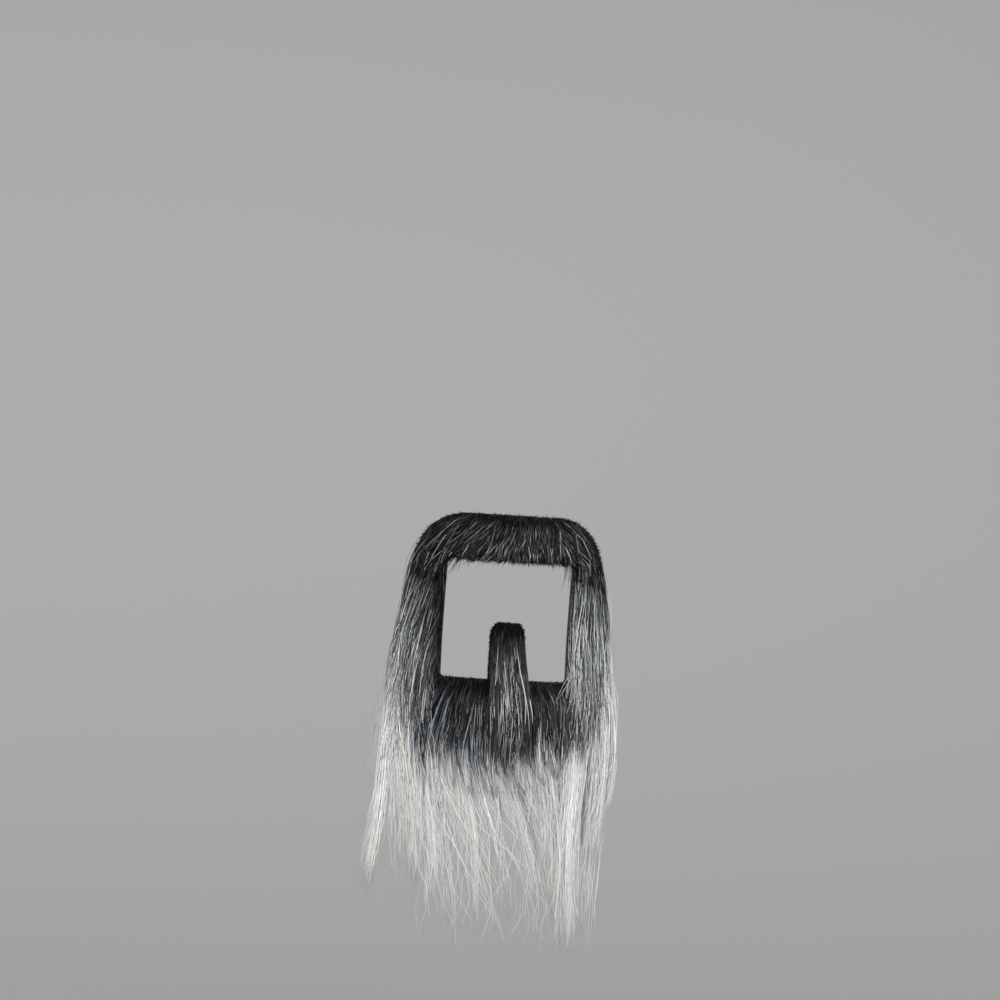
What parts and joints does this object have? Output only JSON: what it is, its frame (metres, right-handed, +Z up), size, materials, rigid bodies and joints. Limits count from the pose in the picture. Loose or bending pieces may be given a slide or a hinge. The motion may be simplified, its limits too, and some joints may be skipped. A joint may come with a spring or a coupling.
{
  "type": "fake beard",
  "caption": "Fake moustache and goatee of long-pile fur on a die-cut cloth frame, open round the mouth, with a tab under the lip and pale tips.",
  "frame": {"origin": "on the back of the cloth, in the middle of the moustache bar, where the beard sits on the upper lip", "axes": "+Z up, the wearer faces -Y, +X is the wearer's left"},
  "size_m": [0.0884, 0.0298, 0.1572],
  "materials": {
    "backing_cloth": "matt knitted ground cloth",
    "dark_hair": "glossy synthetic fibre, near black",
    "grey_hair": "glossy synthetic fibre, slate grey with silver streaks",
    "white_hair": "glossy synthetic fibre, translucent white"
  },
  "bodies": {
    "root": {"backing": "backing_cloth", "moustache": "dark_hair", "side_hair_left": "grey_hair", "side_hair_right": "grey_hair", "chin_hair": "dark_hair", "chin_fringe": "white_hair", "soul_patch": "dark_hair"}
  },
  "joints": []
}
